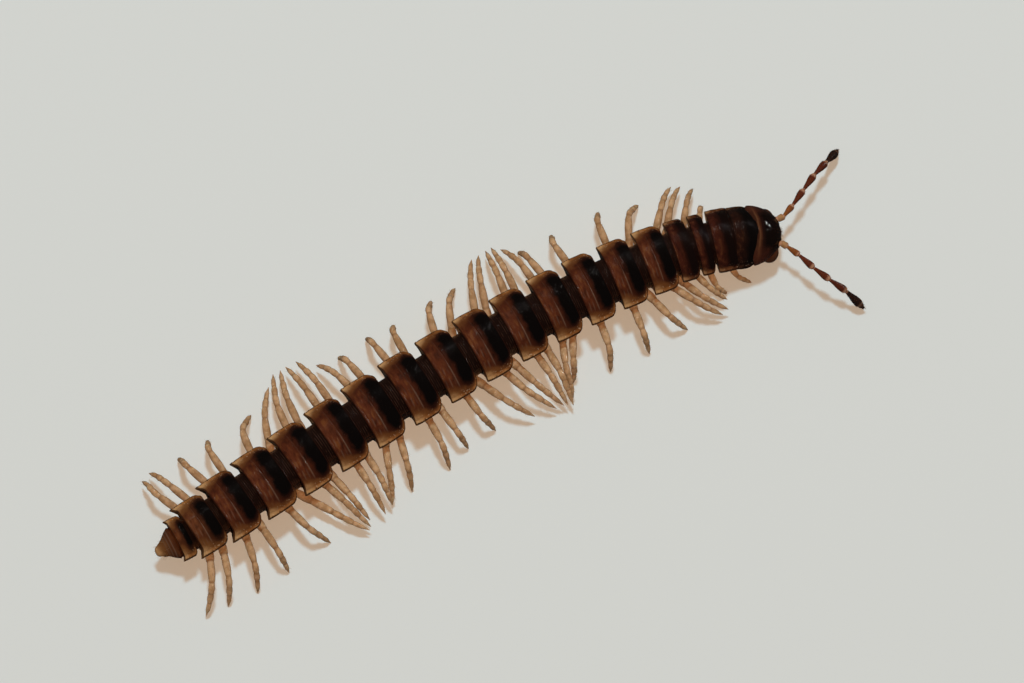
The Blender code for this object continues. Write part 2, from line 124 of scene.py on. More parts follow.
def front_station(number):
    """Station of a ring's front edge: that of the collum less the pitches between."""
    return COLLUM_FRONT - sum(read(PITCH, ring) for ring in range(2, number + 1))


def place(points, station, span):
    """Ring's own points turned to the midline's heading at the middle of the span, and set on its station."""
    stations, line, headings = MIDLINE
    heading = np.interp(station - span / 2, stations, headings)
    x = points[..., 0] * np.cos(heading) - points[..., 1] * np.sin(heading)
    y = points[..., 0] * np.sin(heading) + points[..., 1] * np.cos(heading)
    x = x + np.interp(station, stations, line[:, 0])
    y = y + np.interp(station, stations, line[:, 1])
    return np.stack([x, y, points[..., 2]], axis=-1)


def bump_at(distance, width):
    """Bell curve: e to the minus square of distance over width."""
    return np.exp(-(distance / width) ** 2)


def ease(value, low, high):
    """Smooth step from 0 at low to 1 at high: three times the square less twice the cube."""
    share = np.clip((value - low) / (high - low), 0, 1)
    return share * share * (3 - 2 * share)


def unit(vectors):
    """Vectors brought to length one."""
    return vectors / np.linalg.norm(vectors, axis=-1, keepdims=True)


def normals(points):
    """Unit normals of a grid whose columns close on themselves, as the cross product of its two slopes."""
    down = np.gradient(points, axis=0)
    around = np.roll(points, -1, axis=1) - np.roll(points, 1, axis=1)
    cross = np.cross(around, down)
    return cross / np.maximum(np.linalg.norm(cross, axis=-1, keepdims=True), 1e-9)


def closed_skin(points):
    """Corners and faces of a grid of rows and closed columns, with a pole in the middle of each end."""
    rows, columns = points.shape[:2]
    index = np.arange(rows * columns).reshape(rows, columns)
    turned = np.roll(index, -1, axis=1)
    quads = np.stack([index[:-1], turned[:-1], turned[1:], index[1:]], axis=-1).reshape(-1, 4)
    poles = rows * columns + np.arange(2)
    first = np.stack([turned[0], index[0], np.full(columns, poles[0])], axis=-1)
    last = np.stack([index[-1], turned[-1], np.full(columns, poles[1])], axis=-1)
    corners = np.vstack([points.reshape(-1, 3), points[0].mean(axis=0), points[-1].mean(axis=0)])
    a, b, c, d = (corners[quads[:, k]] for k in range(4))
    middle = corners.mean(axis=0)
    volume = np.einsum("ij,ij->", a - middle, np.cross(b - a, c - a) + np.cross(c - a, d - a))
    faces = quads.tolist() + first.tolist() + last.tolist()
    if volume < 0:
        faces = [face[::-1] for face in faces]
    return corners, faces


def with_poles(values):
    """Value at each corner of a closed skin: the grid's, then the mean of each end row for its pole."""
    return np.concatenate([values.ravel(), [values[0].mean(), values[-1].mean()]])


def skin_of(points, **facts):
    """Closed skin of a grid of points with its facts, each given over the grid, by row or as one value."""
    corners, faces = closed_skin(points)
    return corners, faces, {key: with_poles(np.broadcast_to(values, points.shape[:2]))
                            for key, values in facts.items()}


def new_object(name, data):
    """Object of a mesh, a lamp or a camera, linked to the scene."""
    made = bpy.data.objects.new(name, data)
    bpy.context.scene.collection.objects.link(made)
    return made


def make_piece(name, skins, material, slot, *nodes):
    """One object in metres from closed skins, each a triple of corners, faces and facts by name. It rides on
    the body and stands for its nodes."""
    corners = np.vstack([skin[0] for skin in skins]) * MM
    faces = []
    start = 0
    for skin, skin_faces, facts in skins:
        faces += [[corner + start for corner in face] for face in skin_faces]
        start += len(skin)
    mesh = bpy.data.meshes.new(name)
    mesh.from_pydata(corners.tolist(), [], faces)
    for key in facts:
        values = np.concatenate([skin[2][key] for skin in skins])
        mesh.attributes.new(key, "FLOAT", "POINT").data.foreach_set("value", values)
    mesh.shade_smooth()
    mesh.update()
    mesh.materials.append(material)
    thing = new_object(name, mesh)
    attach(thing, "root")
    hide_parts(*nodes)


def ring_sizes(number):
    """Half widths over the wings and of the body, and middle and half height of the body."""
    crown, belly = read(CROWN, number), read(BELLY, number)
    return read(WING_HALF_WIDTH, number), read(BODY_HALF_WIDTH, number), (crown + belly) / 2, (crown - belly) / 2


def half_section(number, half, crown):
    """Left half of a plate's sections, from the crown to the belly, as y and z over rows and columns. The
    back falls from the crown by the power WING_CURVE of the distance out. The tip is a half ellipse. Its
    underside is a curve back to the flank, which is an ellipse down to the belly."""
    wing, body, centre, height = ring_sizes(number)
    edge = read(WING_EDGE_HEIGHT, number)
    out = np.sin(np.linspace(0, np.pi / 2, BACK_COLUMNS)) * (half - WING_ROUNDING)
    fall = centre + height - edge
    back = crown - fall * (out / wing) ** WING_CURVE
    turn = np.radians(np.linspace(70, -90, 9))
    tip = back[:, -1:] - WING_THICKNESS / 2
    tip_y = half - WING_ROUNDING + WING_ROUNDING * np.cos(turn)
    tip_z = tip + WING_THICKNESS / 2 * np.sin(turn)
    angle = np.radians(np.linspace(FLANK_TOP, -90, 16))
    flank_y = np.broadcast_to(body * np.cos(angle), (len(half), 16))
    flank_z = np.broadcast_to(centre + height * np.sin(angle), (len(half), 16))
    share = np.linspace(0, 1, 10)[1:-1]
    to_tip, to_bend, to_flank = (1 - share) ** 2, 2 * share * (1 - share), share ** 2
    bend_y = body + (half - body) * WING_ROOT_SHARE
    under_y = to_tip * tip_y[:, -1:] + to_bend * bend_y + to_flank * flank_y[:, :1]
    under_z = to_tip * tip_z[:, -1:] + to_bend * (edge - WING_ROOT_DROP) + to_flank * flank_z[:, :1]
    return np.hstack([out, tip_y, under_y, flank_y]), np.hstack([back, tip_z, under_z, flank_z])


def both_sides(values, sign=1):
    """Whole loop from its left half: the right half is the same in reverse, without the two middle columns."""
    return np.hstack([values, sign * values[:, -2:0:-1]])


def ring_shell(number):
    """Skin of one ring. Its rows run down the neck, over the plate's front edge and its back to the rear
    edge, round the lip and into the socket. Beads, folds, sulcus, pits and tubercles are bell curves, added
    along the normal. Its colour facts carry a painted highlight behind the sulcus, strongest on the right
    side, with pale streaks on the right rear, and painted shade under the rear lip and in the socket."""
    length = read(PITCH, number + 1) - read(NECK_SHOWN, number + 1)
    wing, body, centre, height = ring_sizes(number)
    reach = read(WING_REACH, number)

    corner = (1 - np.cos(np.linspace(0, np.pi / 2, 18))) * CORNER_SHARE
    share = np.concatenate([corner, np.linspace(CORNER_SHARE, REAR_SHARE, 46)[1:], np.linspace(REAR_SHARE, 1, 9)[1:]])
    down = share[:, None]
    if number == 1:
        spread = read(COLLUM_OUTLINE, share)
    else:
        spread = np.sqrt(np.clip(1 - (1 - share / CORNER_SHARE).clip(0) ** 2, 0.0004, 1))
        if number == 2:
            spread = read(SECOND_OUTLINE, share)
        swell = WING_SWELL * np.sin(np.pi * ((share - CORNER_SHARE) / (1 - CORNER_SHARE)).clip(0))
        spread = spread + swell - REAR_ROUNDING * ease(share, 0.88, 1.06)
    half = (body + (wing - body) * spread)[:, None]
    rise = centre + height - PLATE_RISE * (1 - down)
    y, z = half_section(number, half, rise)
    out = np.clip((y - body) / (wing - body), 0, None)
    x = -down * length - reach * down ** 6 * out ** 2
    if number == 2:
        x = x + SECOND_FORWARD * (1 - down)
    if number == 1:
        x = x - COLLUM_BOW * (1 - down) * (y / wing) ** 2
        x = x - COLLUM_SWEEP * down * (y / wing) ** 4
    plate = np.stack([both_sides(x), both_sides(y, -1), both_sides(z)], axis=-1)
    rows, columns = plate.shape[:2]

    bearing = np.arctan2((plate[0, :, 2] - centre) / height, plate[0, :, 1] / body)

    def round_row(at, step):
        return np.stack([np.full(columns, at), (body - step) * np.cos(bearing),
                         centre + (height - step) * np.sin(bearing)], axis=-1)

    neck = []
    if number > 1:
        shown = read(NECK_SHOWN, number)
        for at in np.linspace(shown + NECK_TUCK, 0.035, 34):
            neck.append(round_row(at, NECK_STEP + NECK_RING * math.sin(at * 2 * math.pi / NECK_RING_SPACING)))
        neck += [round_row(at, NECK_STEP + deeper) for at, deeper in NECK_FOOT]
    inner = round_row(0, SOCKET_STEP)
    lip = []
    for inward, back in LIP:
        row = plate[-1] * (1 - inward) + inner * inward
        row[:, 0] = plate[-1, :, 0] * (1 - inward) - length * inward - back
        lip.append(row)
    for deep in (0.03, SOCKET_DEPTH):
        lip.append(inner + np.array([-length + deep, 0, 0]))

    aside = np.abs(plate[..., 1])
    from_edge = half - aside
    beads = 0.72 + 0.28 * np.sin(2 * np.pi * plate[..., 0] / RIM_BEAD_SPACING + number)
    on_top = np.minimum(np.arange(columns), columns - np.arange(columns)) < TOP_COLUMNS
    along = np.broadcast_to(down, (rows, columns))
    relief = RIM_BEAD * beads * bump_at(from_edge - 0.040, 0.026) - RIM_DITCH * bump_at(from_edge - 0.105, 0.026)
    relief *= ease(along, 0.0, 0.12)
    relief += FOLD * (bump_at(along - 0.965, 0.018) - bump_at(along - 0.915, 0.022))
    relief += FOLD * (bump_at(along - 0.015, 0.020) - bump_at(along - 0.07, 0.03))
    # pale is a painted highlight behind the sulcus, strongest on the right side, with pale streaks on the right rear.
    pale = np.zeros((rows, columns))
    if number in SULCUS_RINGS:
        sulcus = SULCUS_SHARE + 0.03 * (aside / wing) ** 2
        reached = 1 - ease(aside / wing, 0.62, 0.80)
        relief -= SULCUS_DEPTH * bump_at(along - sulcus, 0.016) * reached
        right = ease(-plate[..., 1] / wing, -0.05, 0.30)
        pale = bump_at(along - sulcus - 0.02, 0.022) * reached * (0.15 + 0.85 * right)
        streak = np.sin(plate[..., 1] * 8 + number * 2.3) * np.sin(along * 46 + plate[..., 1] * 5 + number * 1.7)
        pale = np.maximum(pale, 0.55 * right * reached * bump_at(along - 0.80, 0.13) * ease(streak, 0.15, 0.75))
    if number in PORE_RINGS:
        relief += PORE_SWELL * bump_at(along - 0.70, 0.10) * bump_at(from_edge - 0.055, 0.045)
        relief -= PORE_DEPTH * bump_at(along - 0.72, 0.020) * bump_at(from_edge - 0.045, 0.018)
    for row_index, at in enumerate(TUBERCLE_ROWS):
        for step in range(5):
            out_at = (0.10 + 0.19 * step + 0.05 * (row_index % 2)) * wing
            relief += TUBERCLE * bump_at((along - at) * length, 0.022) * bump_at(aside - out_at, 0.024)
    wave = np.sin(plate[..., 1] * 9 + number) * np.sin(along * 11 + number * 2) + np.sin(
        plate[..., 1] * 21 + number * 3) * np.sin(along * 19 + number)
    relief += WAVE * wave
    plate = plate + normals(plate) * (relief * on_top)[..., None]

    points = np.concatenate([np.array(neck).reshape(-1, columns, 3), plate, np.array(lip)])
    count = len(neck)
    run = np.concatenate([np.linspace(-1, -0.02, count), share, np.full(len(lip), 1.02)])[:, None]
    over = np.abs(points[..., 1]) / wing
    edge = np.full(points.shape[:2], 0.30)
    edge[count:count + rows] = from_edge * on_top
    edge[count + rows:] = from_edge[-1] * on_top
    below = np.tile(1.0 - on_top, (len(points), 1))
    below[:count] = ease(centre - points[:count, :, 2], -0.15 * height, 0.5 * height)
    # Painted shade: the underside of the rear lip and the socket get the front's black, half as much on amber rings.
    inside = np.zeros_like(run)
    inside[-INSIDE_ROWS:] = 0.5 if number in AMBER_RINGS else 1.0
    groove = np.zeros(points.shape[:2])
    groove[count:count + rows] = pale * on_top
    return skin_of(place(points, front_station(number), length), along=run, over=over, edge=edge, below=below,
                   inside=inside, groove=groove)


def is_socket(value):
    """Whether a value is the output of another node."""
    return isinstance(value, bpy.types.NodeSocket)


def feed(tree, made, inputs):
    """Inputs of a node, each given as a value or as a socket to link."""
    for key, value in inputs.items():
        if is_socket(value):
            tree.links.new(value, made.inputs[key])
        else:
            made.inputs[key].default_value = value


def node(tree, kind, inputs=None, **settings):
    """New shader node with its settings and its inputs."""
    made = tree.nodes.new(kind)
    for key, value in settings.items():
        setattr(made, key, value)
    feed(tree, made, inputs or {})
    return made


def fact(tree, name):
    """Value that the mesh carries under this name."""
    return node(tree, "ShaderNodeAttribute", attribute_name=name).outputs["Fac"]


def sums(tree, operation, first, second=0.0, third=0.0):
    """One step of arithmetic on values."""
    return node(tree, "ShaderNodeMath", {0: first, 1: second, 2: third}, operation=operation).outputs[0]


def spread_of(tree, value, low, high, to_low=0.0, to_high=1.0):
    """Smooth step of a value from low to high."""
    made = node(tree, "ShaderNodeMapRange", {"Value": value, "From Min": low, "From Max": high, "To Min": to_low,
                                             "To Max": to_high}, interpolation_type="SMOOTHSTEP")
    return made.outputs["Result"]


def ramp(tree, value, stops):
    """Colour ramp through the stops."""
    made = node(tree, "ShaderNodeValToRGB", {"Fac": value})
    elements = made.color_ramp.elements
    while len(elements) < len(stops):
        elements.new(0.5)
    for element, (at, colour) in zip(elements, stops):
        element.position = at
        element.color = (*colour, 1.0)
    return made.outputs["Color"]


def mix(tree, share, first, second):
    """Two colours mixed by a share."""
    first, second = (value if is_socket(value) else (*value, 1.0) for value in (first, second))
    return node(tree, "ShaderNodeMix", {0: share, 6: first, 7: second}, data_type="RGBA").outputs[2]


def noise(tree, size, detail=3.0, stretch=(1, 1, 1)):
    """Cloudy pattern whose patches are about size millimetres wide."""
    spot = node(tree, "ShaderNodeTexCoord").outputs["Object"]
    scaled = node(tree, "ShaderNodeMapping", {"Vector": spot, "Scale": stretch}).outputs[0]
    made = node(tree, "ShaderNodeTexNoise", {"Vector": scaled, "Scale": 1 / (size * MM), "Detail": detail})
    return made.outputs["Fac"]


def bumps(tree, height, strength, depth):
    """Bumps of a height, at a strength, over a depth in millimetres."""
    made = node(tree, "ShaderNodeBump", {"Height": height, "Strength": strength, "Distance": depth * MM})
    return made.outputs[0]


def new_material(name):
    """Material with a Principled shader: its node tree and that shader."""
    made = bpy.data.materials.new(name)
    made.use_nodes = True
    return made, made.node_tree, made.node_tree.nodes["Principled BSDF"]


def cuticle(name, front, middle, rear, amber, corner, flank, breadth):
    """Glossy shell. Along the plate it goes from front to middle and rear colours, with cloudy streaks and a
    painted highlight: a pale line behind the sulcus, mixed with pale streaks. Over a breadth in millimetres
    from the wing's edge it turns amber, with painted glint specks, and paler in the rear corner, inside a thin
    dark rim. The neck has fine rings, worn pale here and there, and is browner down the flanks. The underside
    of the rear lip and the socket are painted black as painted shade."""
    made, tree, shader = new_material(name)
    clouds = sums(tree, "SUBTRACT", noise(tree, 0.30), 0.5)
    fine = noise(tree, 0.06, 4.0)
    streaks = noise(tree, 0.11, 5.0, (1.0, 0.28, 1.0))
    run = fact(tree, "along")
    along = sums(tree, "MULTIPLY_ADD", clouds, 0.26, run)
    back = ramp(tree, along, ((0.0, front), (0.38, front), (0.54, middle), (0.76, rear), (0.95, rear),
                              (1.0, middle)))
    back = mix(tree, spread_of(tree, streaks, 0.50, 0.68, 0.0, 0.6), back, mix(tree, 0.8, back, front))
    back = mix(tree, sums(tree, "MULTIPLY", spread_of(tree, streaks, 0.50, 0.34), spread_of(tree, along, 0.5, 0.8)),
               back, mix(tree, 0.30, back, amber))
    edge = fact(tree, "edge")
    reach = sums(tree, "MULTIPLY_ADD", spread_of(tree, run, 0.2, 1.0), breadth, breadth * 0.58)
    inward = sums(tree, "DIVIDE", sums(tree, "MULTIPLY_ADD", clouds, 0.24, edge), reach)
    tan = mix(tree, 0.45, amber, corner)
    brown = mix(tree, 0.55, amber, middle)
    glow = mix(tree, spread_of(tree, inward, 0.02, 0.24), tan, amber)
    glow = mix(tree, spread_of(tree, inward, 0.12, 0.48), glow, brown)
    glow = mix(tree, spread_of(tree, inward, 0.44, 1.05), glow, mix(tree, 0.35, middle, back))
    colour = mix(tree, spread_of(tree, inward, 1.75, 0.70), back, glow)
    # Painted highlight behind the sulcus with pale streaks on the rings, and pale stripes on the telson.
    colour = mix(tree, sums(tree, "MULTIPLY", fact(tree, "groove"), SHEEN_AND_STRIPE_SHARE), colour, SHEEN_AND_STRIPE_COLOUR)
    at_corner = sums(tree, "MULTIPLY", spread_of(tree, run, 0.62, 0.96), spread_of(tree, inward, 0.62, 0.12))
    colour = mix(tree, at_corner, colour, corner)
    # Painted highlight: pale glint specks scattered near the wing's edge.
    rim_glints = sums(tree, "MULTIPLY", spread_of(tree, noise(tree, 0.05, 1.0), 0.64, 0.72),
                    spread_of(tree, edge, 0.24, 0.08))
    rim_glints = sums(tree, "MULTIPLY", rim_glints, min(RIM_GLINT_SHARE, 2 * breadth))
    colour = mix(tree, rim_glints, colour, mix(tree, 0.5, corner, RIM_GLINT_COLOUR))
    rim = spread_of(tree, edge, 0.056, 0.032)
    ends = sums(tree, "MAXIMUM", spread_of(tree, run, 0.975, 0.99), spread_of(tree, run, 0.035, 0.010))
    lines = sums(tree, "MULTIPLY", sums(tree, "MAXIMUM", rim, ends), RIM_SHARE)
    colour = mix(tree, lines, colour, mix(tree, 0.5, front, middle))
    rings = sums(tree, "SINE", sums(tree, "MULTIPLY", run, NECK_LINES))
    down = spread_of(tree, sums(tree, "MULTIPLY_ADD", clouds, 0.2, fact(tree, "over")), 0.42, 0.72)
    neck = mix(tree, down, mix(tree, 0.15, front, middle), mix(tree, 0.35, middle, flank))
    worn = sums(tree, "MULTIPLY", spread_of(tree, rings, 0.55, 1.0), spread_of(tree, streaks, 0.42, 0.60, 0.1, 0.6))
    neck = mix(tree, worn, neck, mix(tree, 0.6, neck, WORN_COLOUR))
    colour = mix(tree, spread_of(tree, run, 0.004, -0.012), colour, neck)
    under = mix(tree, noise(tree, 0.25), flank, mix(tree, 0.5, corner, flank))
    colour = mix(tree, fact(tree, "below"), colour, under)
    # Painted shade: black under the rear lip and in the socket.
    colour = mix(tree, fact(tree, "inside"), colour, front)
    feed(tree, shader, {"Base Color": colour, "Roughness": spread_of(tree, fine, 0.3, 0.75, 0.09, 0.20),
                        "Normal": bumps(tree, sums(tree, "ADD", fine, streaks), 0.45, 0.022),
                        "Specular IOR Level": 0.34})
    return made


MIDLINE = midline()
# Colour and share of the painted highlight behind the sulcus, also used for pale streaks and the telson's stripes.
SHEEN_AND_STRIPE_COLOUR = (0.150, 0.088, 0.060)
SHEEN_AND_STRIPE_SHARE = 0.60
# Colour and share of the painted glint specks near the wing's edge.
RIM_GLINT_COLOUR = (0.70, 0.56, 0.42)
RIM_GLINT_SHARE = 0.60
RIM_SHARE = 0.88
NECK_LINES = 38.0
WORN_COLOUR = (0.09, 0.045, 0.028)
BLACK = (0.0026, 0.0017, 0.0016)
COLLUM_CUTICLE = cuticle("collum_cuticle", BLACK, (0.009, 0.0034, 0.0024), (0.019, 0.0056, 0.0034),
                         (0.090, 0.034, 0.014), (0.160, 0.080, 0.040), (0.050, 0.022, 0.012), 0.10)
DARK_CUTICLE = cuticle("dark_cuticle", (0.0055, 0.0022, 0.0018), (0.022, 0.0050, 0.0028), (0.044, 0.0098, 0.0052),
                       (0.150, 0.052, 0.018), (0.300, 0.155, 0.070), (0.050, 0.022, 0.012), 0.15)
BROWN_CUTICLE = cuticle("brown_cuticle", BLACK, (0.044, 0.0102, 0.0044), (0.084, 0.0200, 0.0080),
                        (0.235, 0.086, 0.024), (0.440, 0.245, 0.108), (0.060, 0.027, 0.014), 0.31)
AMBER_CUTICLE = cuticle("amber_cuticle", BLACK, (0.052, 0.0145, 0.0056), (0.108, 0.0310, 0.0112),
                        (0.265, 0.106, 0.031), (0.450, 0.252, 0.112), (0.085, 0.038, 0.019), 0.33)
for number in range(1, LAST_RING + 1):
    name = "collum" if number == 1 else f"ring_{number:02d}"
    material, slot = BROWN_CUTICLE, "brown_shell"
    if number <= LAST_DARK_RING:
        material, slot = DARK_CUTICLE if number > 1 else COLLUM_CUTICLE, "dark_shell"
    if number in AMBER_RINGS:
        material, slot = AMBER_CUTICLE, "amber_shell"
    make_piece(f"shell_{name}", [ring_shell(number)], material, slot, name)


# The walking legs
# Each leg is a chain of seven thin-walled tubes that ends in a claw, of clear tan cuticle with pale flesh inside.
# Rings 2 to 4 and ring 7 have one pair, the others to 18 have two. Feet are set down and lifted in waves along
# the body, so each leg's place comes from its step.
LAST_LEGGED_RING = 18
ROOT_OUT = 0.20
ROOT_HEIGHT = 0.68
HIP_OUT = 0.37
HIP_HEIGHT = 0.50
HIP_SWING = 0.04
FOOT_OUT = 0.26
FRONT_HIP = -0.06
REAR_HIP = -0.46
ONLY_HIP = -0.20
THIGH = 1.48
SHIN = 1.24
KNEE_HEIGHT_LIMIT = 1.00
LEAST_ARCH = 0.10
MOST_ARCH = ((1, 0.25), (2, 0.45), (3, 0.75), (4, 1.2))
ANKLE_SHARE = 0.55
ANKLE_BULGE = 0.10
LEG_RADIUS = ((0, 0.13), (0.14, 0.125), (0.32, 0.130), (0.50, 0.112), (0.62, 0.096), (0.78, 0.092), (0.92, 0.060),
              (0.955, 0.036), (1, 0.008))
LEG_JOINTS = (0.0, 0.10, 0.17, 0.36, 0.60, 0.71, 0.82, 0.955, 1.0)
LEG_SCALE = ((1, 0.62), (2, 0.75), (3, 0.86), (5, 1.0))
LEFT_REACH = ((1, 0.19), (2, 0.57), (3, 0.70), (4, 0.76), (5, 0.80), (6, 0.92), (7, 1.04), (8, 1.0), (16, 1.0),
              (17, 0.95), (18, 1.0), (20, 0.95), (21, 1.02), (24, 1.06), (25, 0.96), (26, 1.0), (28, 1.04),
              (29, 0.98), (30, 0.89))
RIGHT_REACH = ((1, 0.46), (2, 0.54), (3, 0.58), (4, 0.73), (5, 0.77), (6, 0.92), (7, 1.0), (8, 1.0), (9, 0.91),
               (10, 1.06), (12, 1.0), (14, 0.98), (15, 0.94), (17, 0.98), (18, 1.10), (20, 1.06), (21, 0.93),
               (22, 0.98), (23, 0.94), (24, 1.02), (25, 1.06), (28, 1.07), (29, 1.0), (30, 0.92))
FOOT_AHEAD = ((1, 0.18), (4, 0.20), (5, 0.18), (7, 0.02), (9, 0.08), (28, 0.08), (30, -0.06))
STRIDE = 1.30
FOOT_REACH = ((0, 2.00), (0.20, 2.04), (0.49, 1.96), (0.51, 2.40), (0.82, 2.46), (0.89, 2.20), (1, 2.08))
KNEE_BOW = ((0, -0.06), (0.15, 0.0), (0.25, 0.11), (0.49, 0.22), (0.55, 0.20), (0.70, 0.05), (0.80, -0.04),
            (0.88, 0.02), (1.0, -0.04))
LEFT_LEAN = ((3, 0.08), (5, 0.12), (6, -0.06), (7, -0.05), (8, -0.12), (9, -0.05), (10, 0.06), (11, 0.0), (13, 0.08),
             (14, 0.08), (15, 0.0), (17, -0.05), (19, 0.0), (20, 0.06), (21, -0.01), (24, -0.06), (25, 0.02),
             (26, -0.20), (27, -0.06), (28, -0.13), (29, -0.02), (30, -0.14))
RIGHT_LEAN = ((3, -0.08), (5, -0.04), (6, -0.08), (7, 0.04), (8, 0.09), (9, -0.02), (10, -0.08), (11, 0.0),
              (13, -0.02), (14, -0.06), (15, 0.0), (16, -0.05), (17, 0.02), (18, 0.06), (19, 0.0), (21, 0.0),
              (22, -0.05), (24, 0.03), (25, 0.16), (26, -0.08), (27, 0.05), (29, 0.10), (30, 0.18))
FOOT_HEIGHT = ((0, 0), (0.49, 0), (0.51, 0.40), (0.82, 0.48), (1, 0.15))
LEFT_STEPS = (0.36, 0.32, 0.58, 0.525, 0.51, 0.44, 0.30, 0.21, 0.14, 0.87, 0.75, 0.71, 0.585, 0.555, 0.46, 0.38,
              0.29, 0.19, 0.17, 0.89, 0.80, 0.79, 0.65, 0.62, 0.51, 0.40, 0.275, 0.15, 0.895, 0.865)
RIGHT_STEPS = (0.39, 0.31, 0.62, 0.545, 0.52, 0.39, 0.22, 0.16, 0.06, 0.91, 0.795, 0.745, 0.615, 0.585, 0.56, 0.29,
               0.26, 0.18, 0.09, 0.975, 0.81, 0.795, 0.72, 0.66, 0.51, 0.35, 0.22, 0.08, 0.06, 0.99)
LEG_ROWS = 96
LEG_COLUMNS = 18
BRISTLES_PER_LEG = 44
BRISTLE = 0.0045
HAIR_ROOT = 0.94
LEG_FLESH = 0.30
LEG_FLESH_COLOUR = (1.0, 0.60, 0.32)
FLESH_DEPTH = 0.08


def legs_of_ring(number):
    """Pair numbers of a ring with the place of each pair's hips behind the front edge."""
    if number <= 4:
        return [(number - 1, ONLY_HIP)]
    first = 4 + 2 * (number - 5) - (number > 7)
    if number == 7:
        return [(first, REAR_HIP)]
    return [(first, FRONT_HIP), (first + 1, REAR_HIP)]


def leg_corners(pair, side, hip_x):
    """Root, hip, knee, ankle and claw. The claw's place follows the step: it swings evenly forward and back by
    STRIDE. The knee is where a thigh and a shin of their lengths meet above the line from hip to claw."""
    step = (LEFT_STEPS if side > 0 else RIGHT_STEPS)[pair - 1]
    reach = read(FOOT_REACH, step) * read(LEFT_REACH if side > 0 else RIGHT_REACH, pair)
    scale = read(LEG_SCALE, pair)
    forward = STRIDE * (4 * step - 1 if step < 0.5 else 3 - 4 * step) * scale
    root = np.array((hip_x, side * ROOT_OUT, ROOT_HEIGHT))
    hip = np.array((hip_x + HIP_SWING * forward, side * HIP_OUT, HIP_HEIGHT))
    claw_x = hip_x + forward + read(FOOT_AHEAD, pair)
    claw = np.array((claw_x, side * (FOOT_OUT + reach), read(FOOT_HEIGHT, step)))
    straight = claw - hip
    distance = np.linalg.norm(straight)
    thigh = THIGH * scale
    shin = SHIN * scale
    along = (thigh ** 2 - shin ** 2 + distance ** 2) / (2 * distance)
    arch = min(math.sqrt(max(thigh ** 2 - along ** 2, LEAST_ARCH ** 2)), read(MOST_ARCH, pair))
    direction = straight / distance
    upward = unit(np.array((0.0, 0.0, 1.0)) - direction * direction[2])
    knee = hip + direction * along + upward * arch
    knee[2] = min(knee[2], KNEE_HEIGHT_LIMIT)
    knee[0] += read(LEFT_LEAN if side > 0 else RIGHT_LEAN, pair) - read(KNEE_BOW, step)
    ankle = knee + (claw - knee) * ANKLE_SHARE
    ankle += np.array((0.0, side, 1.0)) * ANKLE_BULGE * scale / math.sqrt(2)
    return [root, hip, knee, ankle, claw]


def smooth_path(corners, shares):
    """Points at shares of the length of a Catmull-Rom curve through the corners."""
    corners = np.array(corners, dtype=float)
    padded = np.vstack([2 * corners[0] - corners[1], corners, 2 * corners[-1] - corners[-2]])
    t = np.linspace(0, 1, 40, endpoint=False)[:, None]
    fine = []
    for a, b, c, d in zip(padded, padded[1:], padded[2:], padded[3:]):
        fine.append(0.5 * (2 * b + (c - a) * t + (2 * a - 5 * b + 4 * c - d) * t ** 2
                           + (3 * b - a - 3 * c + d) * t ** 3))
    fine = np.vstack(fine + [corners[-1:]])
    run = np.concatenate([[0.0], np.cumsum(np.linalg.norm(np.diff(fine, axis=0), axis=1))])
    return np.stack([np.interp(shares * run[-1], run, fine[:, axis]) for axis in range(3)], axis=1)


def tube(path, radii, columns):
    """Points of a tube: at each point of the path a circle of its radius, square to the path. Also the
    directions along the path, across it on the level, and up from it."""
    tangent = unit(np.gradient(path, axis=0))
    across = unit(np.cross(tangent, (0.0, 0.0, 1.0)))
    above = np.cross(across, tangent)
    angle = 2 * np.pi * (np.arange(columns) + 0.5) / columns
    ring = np.cos(angle)[:, None] * across[:, None] + np.sin(angle)[:, None] * above[:, None]
    return path[:, None] + np.asarray(radii)[:, None, None] * ring, tangent, across, above


def evenly(count, **facts):
    """Facts with the same value at all of a skin's corners."""
    return {key: np.full(count, value) for key, value in facts.items()}


def bristles(roots, ways, lengths, thickness, **facts):
    """Hairs as three-sided needles: three corners round each root and one at its tip, as one skin."""
    ways = unit(ways)
    aside = unit(np.cross(ways, (0.31, 0.47, 0.83)))
    other = np.cross(ways, aside)
    turns = 2 * np.pi * np.arange(3) / 3
    feet = roots[:, None] + thickness * (np.cos(turns)[:, None] * aside[:, None]
                                         + np.sin(turns)[:, None] * other[:, None])
    tips = (roots + ways * lengths[:, None])[:, None]
    corners = np.concatenate([feet, tips], axis=1).reshape(-1, 3)
    first = 4 * np.arange(len(roots))[:, None]
    pattern = np.array(((0, 1, 3), (1, 2, 3), (2, 0, 3), (2, 1, 0)))
    faces = (first[:, None] + pattern[None]).reshape(-1, 3).tolist()
    return corners, faces, evenly(len(corners), **facts)


def hairs_along(path, radius, ways, at, lean, lengths, thickness, **facts):
    """Hairs at some points of a tube, each at a drawn turn round it and leaning along it. One whose tip would
    pass the floor is left out."""
    tangent, across, above = (way[at] for way in ways)
    turn = draw.uniform(0, 2 * np.pi, len(at))
    outward = np.cos(turn)[:, None] * across + np.sin(turn)[:, None] * above
    roots = path[at] + outward * radius[at, None] * HAIR_ROOT
    leaning = unit(outward * lean + tangent)
    lengths = draw.uniform(*lengths, len(at))
    keep = roots[:, 2] + leaning[:, 2] * lengths > 0.01
    return bristles(roots[keep], leaning[keep], lengths[keep], thickness, **facts)


def set_on(skins, station, span):
    """Skins turned and set on a station of the midline."""
    return [(place(corners, station, span), faces, facts) for corners, faces, facts in skins]


